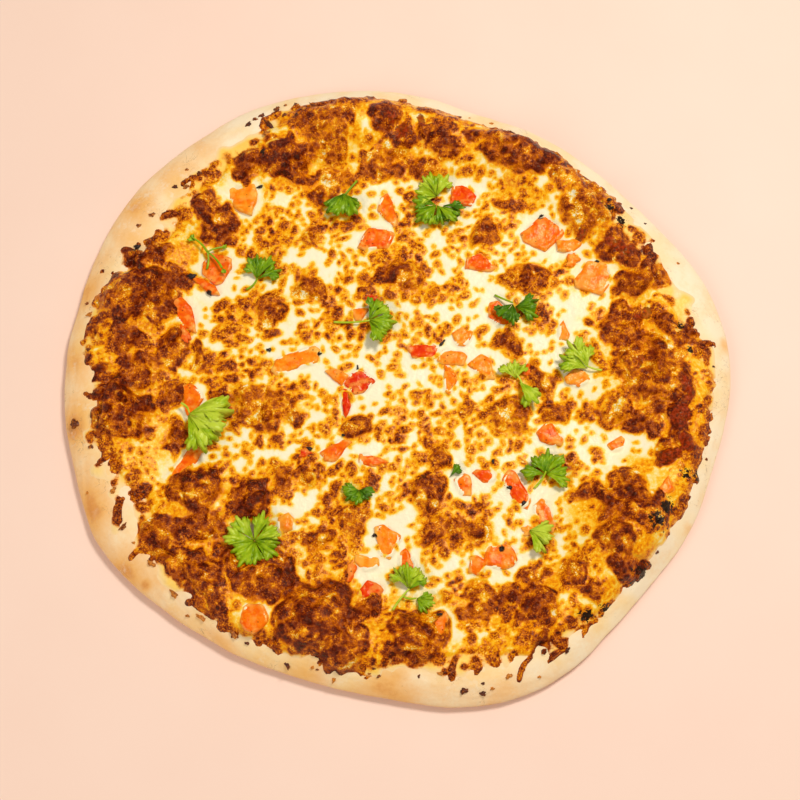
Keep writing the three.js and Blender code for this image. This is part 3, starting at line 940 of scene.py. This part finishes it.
def overlaidTint(tree, coords, parts, tint):
    # thin films take the colour of the dough and the fat
    thick = attributeOf(tree, "thick")
    film = ramp(tree, thick, [
        (0.0, colour(252, 212, 154)), (0.25, colour(254, 212, 134)), (0.5, colour(255, 206, 96)),
        (1.0, colour(252, 190, 60))])
    thin = times(tree, rescale(tree, thick, 0.4, 1.3, 1, 0), rescale(tree, parts.crust, 0, 1, 1, 0))
    tint = blendColours(tree, thin, tint, film)
    # sauce that baked dry
    red = blendColours(tree, rescale(tree, parts.grain, 0.35, 0.65), colour(178, 52, 2), colour(88, 20, 0))
    wet = add(tree, attributeOf(tree, "sauce"), spread(tree, parts.grain, 0.2))
    tint = blendColours(tree, rescale(tree, wet, 0.42, 0.6, 0, 0.85), tint, red)
    # burnt spots
    sooty = attributeOf(tree, "char")
    black = add(tree, sooty, spread(tree, noiseNode(tree, coords, 1.7, 3, 0.7), 0.7))
    black = times(tree, rescale(tree, black, 0.52, 0.62), rescale(tree, sooty, 0.05, 0.12))
    return blendColours(tree, black, tint, colour(34, 16, 6))


def cheeseMaterial():
    material, tree, shader = startMaterial("bakedCheese")
    coords = objectCoords(tree)
    parts = browningParts(tree, coords)
    tint = overlaidTint(tree, coords, parts, bakedTint(tree, coords, parts))
    plug(tree, tint, shader.inputs["Base Color"])
    setGloss(tree, shader, rescale(tree, parts.crust, 0, 1, 0.27, 0.22), 0.27, (1, 0.72, 0.42, 1))
    bumps = add(tree, times(tree, parts.bubbles, -0.9), times(tree, parts.fine, 0.8))
    bumps = times(tree, bumps, rescale(tree, parts.whole, 0, 1, 0.3, 1))
    soft = bumpNode(tree, noiseNode(tree, coords, 3.0, 3), 0.3, 1.2)
    humps = times(tree, times(tree, parts.lumps, -1), parts.mass)
    soft = bumpNode(tree, humps, 0.5, 2.2, soft)
    plug(tree, bumpNode(tree, bumps, 0.8, 0.7, soft), shader.inputs["Normal"])
    return material


maps = makeMaps()
print("maps drawn")
cheesePiece = buildCheese(maps)
cheesePiece.data.materials.append(cheeseMaterial())
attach(cheesePiece, "root")
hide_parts("cheese")
cheeseTree = treeOf(cheesePiece)
print("cheese", len(cheesePiece.data.polygons))


tomato = {
    "sink": 1.4,  # the bottom of each piece goes this far into the cheese
    "settle": 1.25,  # and its top comes down this far
    "proud": 0.55,  # least height of its top over the cheese
    "widen": 1.16,  # the smoothed dice are brought back to their full width
    "facet": 0.9,  # longer edges than this are cut
    "cuts": 3,
    "lump": 0.5,
}

ripeness = [  # x, y, 0 yellow-orange to 1 red
    (-69, 90, 0.25), (-46, 10, 0.3), (-26, 1, 0.35), (24, 11, 0.3), (29, 20, 0.25), (38, 5, 0.25),
    (-5, -73, 0.3), (19, -110, 0.4), (-49, -66, 0.2), (-61, -111, 0.5), (77, 66, 0.3), (88, 49, 0.35),
    (80, 1, 0.2), (115, -52, 0.35), (75, 22, 0.3), (-11, -82, 0.05), (57, -70, 0.05), (-81, 53, 0.6),
    (-94, 32, 0.65), (-94, -37, 0.55), (-10, 67, 0.6), (52, -49, 0.7), (4, -83, 0.6), (65, 71, 0.5),
    (67, -26, 0.6), (38, 56, 0.7), (47, 32, 0.65), (-27, -32, 0.6), (-18, -1, 1.0), (11, 14, 0.9),
    (-11, -96, 0.95), (30, 88, 0.8), (-91, -9, 0.5), (-4, 82, 0.5), (65, -62, 0.45), (29, -49, 0.6),
    (38, -44, 0.7), (46, -83, 0.5), (36, -84, 0.5), (-20, -87, 0.6),
]

singed = [  # blackened corners and flakes: x, y, length, width, turn
    (-64, 93, 3, 1.4, 20), (-94, 49, 4, 2.6, 0), (-86, 41, 3, 1.4, -40), (-58, 14, 2.4, 1.6, 0),
    (-39, -32, 2.6, 1.6, -20), (-18, 5, 3.4, 1.0, 90), (20, 17, 4, 1.2, 50), (49, -50, 2.4, 1.6, 0),
    (55, -57, 2.6, 1.6, 60), (45, -77, 3.4, 1.6, 70), (-10, -71, 2.4, 1.4, 0), (18, -106, 2.6, 1.4, 0),
    (66, 78, 2.4, 1.2, 30), (91, 56, 2.2, 1.0, 0), (42, -38, 2.2, 1.2, 90), (-24, -26, 2, 1.2, 0),
    (-35, 12, 2, 1, 30), (27, -43, 2, 1.2, 0), (113, -67, 3.4, 1.6, 50), (97, 84, 2.4, 1.4, 0),
    (-119, 62, 3, 2, 0),
]


def singeAt(x, y, reach):
    # 1 where a blackened corner lies
    return spotField([(row[0], row[1], reach, 1) for row in singed], x, y, 1)


def softDice(name):
    # the CAD node cut finer, with its edges rounded off
    bm = bmesh.new()
    bm.from_mesh(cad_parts[name].data)
    bmesh.ops.remove_doubles(bm, verts=bm.verts, dist=weld)
    bmesh.ops.dissolve_limit(bm, angle_limit=0.12, verts=bm.verts, edges=bm.edges)
    bmesh.ops.triangulate(bm, faces=bm.faces)
    for _ in range(tomato["cuts"]):
        longest = [e for e in bm.edges if e.calc_length() > tomato["facet"] * mm]
        bmesh.ops.subdivide_edges(bm, edges=longest, cuts=1, use_grid_fill=True)
        bmesh.ops.triangulate(bm, faces=bm.faces)
    bmesh.ops.smooth_vert(bm, verts=bm.verts, factor=0.5, use_axis_x=True, use_axis_y=True, use_axis_z=True)
    return toObject(name + "_dice", bm)


def buildTomato(name, index):
    piece = softDice(name)
    x, y, z = (coordsOf(piece.data) / mm).T
    low, high = boxOf(name)
    centre, size = (low + high) / 2, high - low
    up = (z - low.z) / max(size.z, 0.5)
    x = centre.x + (x - centre.x) * tomato["widen"]
    y = centre.y + (y - centre.y) * tomato["widen"]
    x += tomato["lump"] * grainNoise(x, y, 4.2, 600 + index, 2)
    y += tomato["lump"] * grainNoise(x + 40, y, 4.2, 700 + index, 2)
    z += 0.35 * grainNoise(x, y, 3.0, 800 + index, 2) * smoothstep(0.3, 0.8, up)
    z -= lerp(tomato["sink"], tomato["settle"], smoothstep(0.2, 0.8, up))
    # where the cheese has swollen under a piece, it rides up too
    top = z > z.max() - 1.2
    cover = heightsOn(cheeseTree, x[top] * mm, y[top] * mm) / mm
    z += np.clip(tomato["proud"] - np.median(z[top] - cover), 0, 4)
    setCoords(piece.data, np.column_stack([x, y, z]) * mm)
    rimward = 2 * np.hypot((x - centre.x) / max(size.x, 1), (y - centre.y) / max(size.y, 1))
    nearest = min(ripeness, key=lambda row: (row[0] - centre.x) ** 2 + (row[1] - centre.y) ** 2)
    ripe = np.full(len(x), 0.85 * nearest[2] - 0.04)
    paint(piece.data, ripe=ripe, rimward=rimward, singe=singeAt(x, y, 1.7))
    return piece


def tomatoMaterial():
    material, tree, shader = startMaterial("cookedTomato")
    coords = objectCoords(tree)
    streak = noiseNode(tree, coords, 3.0, 4, 0.6, 0.5)
    ripe = add(tree, attributeOf(tree, "ripe"), spread(tree, streak, 0.2))
    edge = add(tree, attributeOf(tree, "rimward"), spread(tree, noiseNode(tree, coords, 2.0, 3), 0.3))
    ripe = add(tree, ripe, rescale(tree, edge, 0.7, 1.3, 0.06, -0.14))
    tint = ramp(tree, ripe, [
        (0.0, colour(255, 170, 50)), (0.2, colour(252, 140, 18)), (0.4, colour(248, 114, 2)),
        (0.6, colour(242, 84, 0)), (0.8, colour(232, 50, 0)), (1.0, colour(212, 20, 0))])
    seedy = rescale(tree, noiseNode(tree, coords, 4.2, 3), 0.5, 0.62, 0, 0.5)
    tint = blendColours(tree, seedy, tint, colour(255, 170, 70))
    tint = blendColours(tree, rescale(tree, edge, 0.95, 1.35, 0, 0.55), tint, colour(255, 196, 96))
    dots = rescale(tree, cellNode(tree, coords, 2.3), 0.1, 0.2, 1, 0)
    dots = times(tree, dots, rescale(tree, noiseNode(tree, coords, 4.0, 1), 0.5, 0.6, 0, 0.8))
    tint = blendColours(tree, dots, tint, colour(120, 34, 4))
    burnt = add(tree, attributeOf(tree, "singe"), spread(tree, streak, 0.2))
    tint = blendColours(tree, rescale(tree, burnt, 0.5, 0.7), tint, colour(30, 14, 8))
    plug(tree, tint, shader.inputs["Base Color"])
    setGloss(tree, shader, 0.22, 0.25, (1, 0.7, 0.45, 1))
    plug(tree, bumpNode(tree, noiseNode(tree, coords, 1.6, 3), 0.45, 0.6), shader.inputs["Normal"])
    return material


tomatoFinish = tomatoMaterial()
for index, name in enumerate(tomatoNames):
    piece = buildTomato(name, index)
    piece.data.materials.append(tomatoFinish)
    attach(piece, "root")
    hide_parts(name)
print("tomato", len(tomatoNames))


# small bits: slivers of tomato, singed flakes, crumbs on the bare dough
slivers = [  # x, y, length, width, turn, ripeness
    (-96, 21, 9, 4, -70, 0.6), (-12, 38, 5, 4.5, 0, 0.9), (-6, 34, 2.6, 2, 30, 0.8), (58, 4, 6, 3, 80, 0.6),
    (80, 57, 7, 5.5, 60, 0.3), (57, -69, 6, 4.5, 0, 0.1), (-41, -34, 5, 3.6, 20, 0.7),
    (-20, -87, 9, 3.6, 80, 0.6), (23, 3, 6.5, 4.5, -70, 0.35), (69, 74, 4, 2, 20, 0.5),
    (-86, -14, 4, 3, 0, 0.5),
]

crumbs = [  # x, y, length, width, turn
    (-143, -21, 4.4, 4, 0), (-136, -52, 1.6, 1.2, 0), (28, -138, 3.5, 2.5, 20), (36, -139, 2.6, 2.2, 0),
    (40, -137, 1.8, 1.4, 0), (36, -135, 1.6, 1.2, 0), (-8, -132, 2, 1.2, 40), (-10, -129, 1.6, 1, 0),
    (-12, -131, 1.4, 1, 0), (-36, -128, 2.4, 1.2, 60), (-34, -129, 1.4, 1, 0), (9, -132, 2, 1, 70),
    (-114, -75, 1.6, 1.2, 0), (-57, 133, 3, 2, 30), (-48, 135, 2.2, 1.6, 0), (-53, 135, 1.6, 1.4, 0),
    (44, 126, 2, 1.4, 0), (-139, 30, 3.4, 2.2, 20), (-141, 36, 2, 1.4, 0), (-138, 12, 2.2, 1.6, 0),
    (-135, -32, 2.4, 1.8, 0), (-103, 92, 2.4, 1.8, 0), (-98, 101, 1.8, 1.2, 0), (108, 83, 1.6, 1.2, 0),
    (114, 75, 1.4, 1, 0), (128, 55, 1.6, 1.2, 0), (141, 5, 1.4, 1, 0), (136, -37, 1.6, 1.2, 0),
    (-70, 124, 3, 2, 40), (-67, 127, 2.4, 1.6, 0), (-64, 129, 3, 1.8, 20), (-60, 123, 7, 2.2, -50),
    (-57, 131, 2.4, 1.4, 0), (-53, 128, 2.6, 1.8, 30), (-47, 134, 2, 1.4, 0), (-44, 129, 2.4, 1.6, 0),
    (-61, 118, 4, 2.2, 10), (-47, 126, 2.2, 1.6, 0), (-39, 132, 5, 1.6, -30), (-98, 92, 3, 2, 30),
    (-92, 99, 2.6, 1.8, 0), (-113, 78, 3, 1.8, 20), (-119, 73, 2.4, 1.6, 0), (-124, -52, 3.4, 2, 60),
    (-119, -68, 4, 2, 50), (-106, -84, 4.4, 2.2, -40), (-96, -97, 4.2, 2.4, -50), (-84, -107, 4.6, 2, -30),
    (-70, -114, 5.6, 2, -50), (-47, -127, 4, 1.8, -60), (-27, -133, 3, 1.6, 70), (18, -131, 2.6, 1.6, 0),
    (47, -132, 3.2, 1.8, 30), (72, -121, 3, 1.8, 60), (112, -79, 2, 1.2, 50), (60, -132, 1.8, 1.2, 0),
    (-90, -106, 2, 1.4, 0), (-64, -118, 2.2, 1.4, 0),
]


def topUnder(x, y):
    return np.maximum(heightsOn(cheeseTree, x * mm, y * mm), heightsOn(doughTree, x * mm, y * mm)) / mm


def buildBits(name, rows, tall, sink, detail, seed):
    # little irregular lumps pressed into whatever is under them
    bm = bmesh.new()
    rng = np.random.default_rng(seed)
    ripe = []
    for row in rows:
        x, y, length, width, turn = row[:5]
        height = tall * min(width, 3)
        lump = bmesh.ops.create_icosphere(bm, subdivisions=detail, radius=0.5 * mm)["verts"]
        bmesh.ops.scale(bm, verts=lump, vec=(length, width, height))
        for v in lump:
            aim = math.atan2(v.co.y / width, v.co.x / length)
            corners = 0.16 * math.sin(3 * aim + x) + 0.13 * math.sin(5 * aim + y)
            v.co *= 1 + corners + 0.08 * math.sin(8 * aim + x * y)
        bmesh.ops.rotate(bm, verts=lump, cent=(0, 0, 0), matrix=Matrix.Rotation(math.radians(turn), 3, "Z"))
        rest = topUnder(np.array([x]), np.array([y]))[0] + 0.35 * height - sink
        bmesh.ops.translate(bm, verts=lump, vec=Vector((x, y, rest)) * mm)
        ripe += [row[5] if len(row) > 5 else rng.random()] * len(lump)
    piece = toObject(name, bm)
    x, y, _ = (coordsOf(piece.data) / mm).T
    paint(piece.data, ripe=ripe, rimward=np.full(len(ripe), 0.9), singe=singeAt(x, y, 1.2))
    return piece


def crumbMaterial():
    material, tree, shader = startMaterial("burntCrumb")
    mottle = spread(tree, noiseNode(tree, objectCoords(tree), 0.9, 2), 0.4)
    tint = ramp(tree, add(tree, attributeOf(tree, "ripe"), mottle), [
        (0.0, colour(70, 26, 4)), (0.4, colour(116, 50, 4)), (1.0, colour(208, 124, 30))])
    plug(tree, tint, shader.inputs["Base Color"])
    setGloss(tree, shader, 0.4, 0.25)
    return material


def singeMaterial():
    material, tree, shader = startMaterial("charred")
    mottle = noiseNode(tree, objectCoords(tree), 1.0, 2)
    tint = blendColours(tree, mottle, colour(20, 10, 8), colour(54, 24, 10))
    plug(tree, tint, shader.inputs["Base Color"])
    setGloss(tree, shader, 0.45, 0.3)
    return material


for name, rows, tall, sink, detail, finish, slot in (
        ("tomatoSlivers", slivers, 0.6, 0.3, 4, tomatoFinish, "tomato"),
        ("singedFlakes", singed, 0.6, -0.3, 3, singeMaterial(), "tomato"),
        ("crumbs", crumbs, 0.55, 0.15, 4, crumbMaterial(), "cheese")):
    piece = buildBits(name, rows, tall, sink, detail, len(rows))
    piece.data.materials.append(finish)
    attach(piece, "root")
print("bits")


parsley = {
    "columns": 13,  # faces across a leaflet and along it
    "rows": 6,
    "thin": 0.22,
    "stem": 0.5,  # radius of a stalk
    "clear": 0.25,  # least height of a leaf over what it lies on
    "lobed": 8,  # a leaf this wide or wider has a smaller lobe on each side of its leaflets
    "seed": 77,
}

# x, y, width, way it points, height over the cheese, leaflets, spread, green (0 dark to 1 light)
sprigs = [
    (-25, 90, 19, -92, 2.6, 5, 100, 0.3), (18, 88, 17, 130, 4.8, 5, 180, 0.75),
    (18, 84, 17, -115, 3.4, 5, 160, 0.4), (21, 84, 15, -45, 3.0, 3, 80, 0.2),
    (-64, 48, 16, 72, 2.8, 5, 118, 0.4), (-13, 27, 18, 0, 4.2, 5, 170, 0.5),
    (52, 35, 15, -112, 3.6, 3, 70, 0.15), (53, 34, 16, -12, 3.6, 3, 56, 0.2),
    (85, 4, 20, 140, 4.6, 4, 100, 0.75), (53, 0, 12, 100, 2.8, 3, 100, 0.85),
    (54, -1, 20, -52, 2.0, 1, 36, 0.75), (-93, -17, 27, -28, 4.6, 5, 80, 0.85),
    (-62, -74, 25, -80, 3.6, 9, 340, 0.65), (-17, -51, 10, -95, 2.0, 5, 220, 0.3),
    (23, -45, 11, 38, 1.6, 1, 30, 0.3), (65, -44, 15, 70, 4.6, 6, 230, 0.5),
    (57, -69, 17, -30, 4.4, 3, 100, 0.9), (5, -95, 15, 75, 4.4, 4, 120, 0.65),
    (8, -99, 11, -20, 3.2, 3, 110, 0.5), (-93, 66, 4.5, 150, 2.4, 2, 90, 0.5),
    (-80, 52, 4, -60, 2.4, 2, 80, 0.5), (-80, 62, 4, 60, 2.4, 1, 60, 0.5),
]

# from x, y to x, y, heights over the cheese at each end, green
stalks = [
    (-28, 84, -19, 96, 2.0, 0.6, 0.4), (-12, 27, -29, 27, 3.2, 0.6, 0.8), (52, 35, 44, 40, 2.8, 0.6, 0.5),
    (84, 5, 91, 3, 3.4, 0.8, 0.9), (53, 2, 56, -6, 2.2, 1.4, 0.9), (-92, -17, -96, -12, 3.6, 2.0, 0.9),
    (5, -95, -2, -104, 3.6, 1.0, 0.9), (8, -99, 2, -98, 2.6, 2.2, 0.7), (-94, 67, -87, 60, 2.2, 1.6, 0.5),
    (-87, 60, -80, 52, 1.6, 2.2, 0.5), (-87, 60, -80, 63, 1.6, 2.0, 0.5), (-87, 60, -87, 52, 1.6, 0.6, 0.5),
    (-64, 48, -69, 43, 1.8, 0.6, 0.5), (65, -43, 60, -50, 3.4, 0.8, 0.8),
]


def groundUnder(x, y):
    ground = topUnder(x, y)
    for name in tomatoNames:
        low, high = boxOf(name)
        over = (x > low.x - 1) & (x < high.x + 1) & (y > low.y - 1) & (y < high.y + 1)
        ground = np.where(over, np.maximum(ground, high.z - tomato["settle"] + 0.3), ground)
    return ground


def leaflet(bm, layers, place, way, length, spreadAngle, lobes, green, rng):
    # a toothed, curling fan that starts at its place and points its way
    columns, rows = parsley["columns"], parsley["rows"]
    grid = bmesh.ops.create_grid(bm, x_segments=columns, y_segments=rows, size=1)["verts"]
    x, y, z = place
    phase, curl = rng.uniform(-0.8, 0.8), rng.uniform(0.0, 0.35)
    skew, teeth, tilt = rng.uniform(-0.15, 0.15), rng.uniform(2.6, 3.6), rng.uniform(-0.35, 0.35)
    for v in grid:
        u, w = v.co.x, (v.co.y + 1) / 2
        lobe = math.cos(lobes * math.pi * u + phase)
        tooth = 1 - abs(math.sin(teeth * math.pi * (u + phase) / 2))
        edge = length * (1 - 0.22 * u * u) * (0.93 + 0.07 * lobe - 0.22 * tooth ** 1.5)
        reach = lerp(0.04 * length, edge, w)
        aim = math.radians(way) + math.radians(spreadAngle) * (u + skew) * (0.8 + 0.2 * w)
        lift = length * (0.32 * math.sin(min(w * 1.6, 1.5)) - curl * w ** 3 + tilt * u * w * 0.5)
        lift += length * w * (0.05 * lobe - 0.07 * tooth * w + 0.05 * math.sin(5 * u + 6 * w + phase * 5))
        v.co = Vector((x + reach * math.cos(aim), y + reach * math.sin(aim), z + lift)) * mm
        v[layers[0]] = 0.5 * (1 - tooth) * w + 0.5 * (1 - w) * (1 - abs(u))
        v[layers[1]] = green


def addSprig(bm, layers, row, rng):
    x, y, width, way, height, leaflets, fan, green = row
    base = groundUnder(np.array([x]), np.array([y]))[0] + height * 0.3
    share = min(max(fan / leaflets * 0.6, 18), 34)
    whole = width * (0.54 if fan > 300 else 0.78)  # a leaf that goes all round is measured right across
    for k in range(leaflets):
        turn = way + fan * ((k + 0.5) / leaflets - 0.5) + rng.uniform(-9, 9)
        length = whole * rng.uniform(0.78, 1.05)
        tint = green + rng.uniform(-0.16, 0.16)
        leaflet(bm, layers, (x, y, base + rng.uniform(-0.3, 0.6)), turn, length, share, 2, tint, rng)
        if width < parsley["lobed"]:
            continue
        for side in (-1, 1):
            out = length * rng.uniform(0.28, 0.45)
            px, py = (x + out * math.cos(math.radians(turn)), y + out * math.sin(math.radians(turn)))
            place = (px, py, base + out * 0.25 + rng.uniform(0.0, 0.8))
            beside = turn + side * rng.uniform(24, 44)
            shorter = length * rng.uniform(0.42, 0.58)
            leaflet(bm, layers, place, beside, shorter, 28, 1, tint + rng.uniform(-0.12, 0.12), rng)


def buildParsley():
    rng = np.random.default_rng(parsley["seed"])
    bm = bmesh.new()
    layers = [bm.verts.layers.float.new(name) for name in ("vein", "green")]
    for row in sprigs:
        addSprig(bm, layers, row, rng)
    flat = np.array([v.co for v in bm.verts]) / mm
    lowest = groundUnder(flat[:, 0], flat[:, 1]) + parsley["clear"]
    for v, least in zip(bm.verts, lowest):
        v.co.z = max(v.co.z, least * mm)
    bmesh.ops.solidify(bm, geom=bm.faces, thickness=parsley["thin"] * mm)
    bmesh.ops.recalc_face_normals(bm, faces=bm.faces)
    return toObject("parsleyLeaves", bm)


def buildStalks():
    bm = bmesh.new()
    green, vein = (bm.verts.layers.float.new(name) for name in ("green", "vein"))
    steps = 12
    for ax, ay, bx, by, az, bz, shade in stalks:
        tube = bmesh.ops.create_grid(bm, x_segments=8, y_segments=steps, size=1)["verts"]
        along = Vector((bx - ax, by - ay, 0)).normalized()
        side = Vector((-along.y, along.x, 0))
        bow = 0.8 * math.sin(ax * 3.1 + by)
        path = [Vector((lerp(ax, bx, t), lerp(ay, by, t), 0)) + side * bow * math.sin(math.pi * t)
                for t in np.linspace(0, 1, steps + 1)]
        ground = groundUnder(np.array([p.x for p in path]), np.array([p.y for p in path]))
        for v in tube:
            t, turn = (v.co.y + 1) / 2, (v.co.x + 1) * math.pi
            k = int(round(t * steps))
            thick = parsley["stem"] * lerp(0.8, 1.1, t)
            z = max(lerp(ground[0], ground[-1], t) + lerp(az, bz, t), ground[k] + thick * 0.8)
            v.co = (path[k] + side * thick * math.cos(turn) + Vector((0, 0, z + thick * math.sin(turn)))) * mm
            v[green] = shade
            v[vein] = 0.4
    bmesh.ops.remove_doubles(bm, verts=bm.verts, dist=weld / 2)
    bmesh.ops.holes_fill(bm, edges=[e for e in bm.edges if e.is_boundary], sides=0)
    bmesh.ops.recalc_face_normals(bm, faces=bm.faces)
    return toObject("parsleyStalks", bm)


def parsleyMaterial():
    material, tree, shader = startMaterial("parsleyGreen")
    coords = objectCoords(tree)
    mottle = noiseNode(tree, coords, 3.0, 3, 0.6)
    shade = add(tree, attributeOf(tree, "green"), spread(tree, mottle, 0.2))
    shade = add(tree, shade, times(tree, attributeOf(tree, "vein"), 0.28))
    tint = ramp(tree, shade, [
        (0.0, colour(52, 92, 0)), (0.3, colour(92, 136, 2)), (0.6, colour(136, 168, 6)),
        (0.85, colour(170, 192, 24)), (1.0, colour(194, 208, 56))])
    plug(tree, tint, shader.inputs["Base Color"])
    setGloss(tree, shader, 0.3, 0.4, (1, 0.9, 0.6, 1))
    plug(tree, bumpNode(tree, noiseNode(tree, coords, 1.2, 3), 0.45, 0.5), shader.inputs["Normal"])
    return material


parsleyFinish = parsleyMaterial()
for piece in (buildParsley(), buildStalks()):
    piece.data.materials.append(parsleyFinish)
    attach(piece, "root")
print("parsley")
